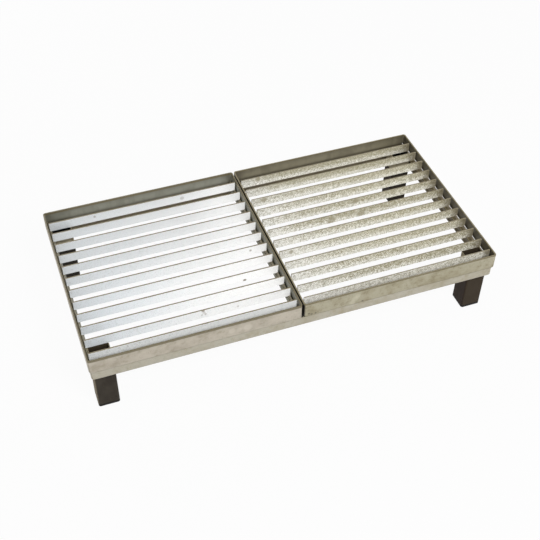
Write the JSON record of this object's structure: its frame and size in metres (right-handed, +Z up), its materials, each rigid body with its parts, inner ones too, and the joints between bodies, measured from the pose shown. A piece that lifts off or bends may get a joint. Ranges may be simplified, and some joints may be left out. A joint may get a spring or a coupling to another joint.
{
  "type": "entrance mat grate",
  "caption": "Free-standing entrance grate: slatted galvanised grates in folded frames lie side by side on a base ring with capped square legs.",
  "frame": {"origin": "middle of the outline, on the floor under the legs", "axes": "+X along the length over both grates, +Y from front to back, +Z up"},
  "size_m": [0.8, 0.408, 0.143],
  "materials": {
    "left_frame_zinc": "hot-dip galvanised, mottled and stained",
    "left_slat_zinc": "galvanised, bright, fine lengthwise streaks",
    "right_frame_zinc": "hot-dip galvanised, dull and weathered",
    "right_slat_zinc": "galvanised, dull, speckled",
    "ring_zinc": "galvanised, dull",
    "bearer_zinc": "galvanised, light along its upper edge",
    "leg_steel": "black-brown below the ring, galvanised inside it",
    "cap_plastic": "matt black"
  },
  "bodies": {
    "root": {"left_frame": "left_frame_zinc", "right_frame": "right_frame_zinc", "base_ring": "ring_zinc", "left_bearer_outer": "bearer_zinc", "left_bearer_inner": "bearer_zinc", "left_slat_01": "left_slat_zinc", "left_slat_02": "left_slat_zinc", "left_slat_03": "left_slat_zinc", "left_slat_04": "left_slat_zinc", "left_slat_05": "left_slat_zinc", "left_slat_06": "left_slat_zinc", "left_slat_07": "left_slat_zinc", "left_slat_08": "left_slat_zinc", "left_slat_09": "left_slat_zinc", "left_slat_10": "left_slat_zinc", "left_slat_11": "left_slat_zinc", "left_slat_12": "left_slat_zinc", "right_bearer_outer": "bearer_zinc", "right_bearer_inner": "bearer_zinc", "right_slat_01": "right_slat_zinc", "right_slat_02": "right_slat_zinc", "right_slat_03": "right_slat_zinc", "right_slat_04": "right_slat_zinc", "right_slat_05": "right_slat_zinc", "right_slat_06": "right_slat_zinc", "right_slat_07": "right_slat_zinc", "right_slat_08": "right_slat_zinc", "right_slat_09": "right_slat_zinc", "right_slat_10": "right_slat_zinc", "right_slat_11": "right_slat_zinc", "right_slat_12": "right_slat_zinc", "leg_front_left": "leg_steel", "leg_cap_front_left": "cap_plastic", "leg_front_right": "leg_steel", "leg_cap_front_right": "cap_plastic", "leg_back_left": "leg_steel", "leg_cap_back_left": "cap_plastic", "leg_back_right": "leg_steel", "leg_cap_back_right": "cap_plastic"}
  },
  "joints": []
}
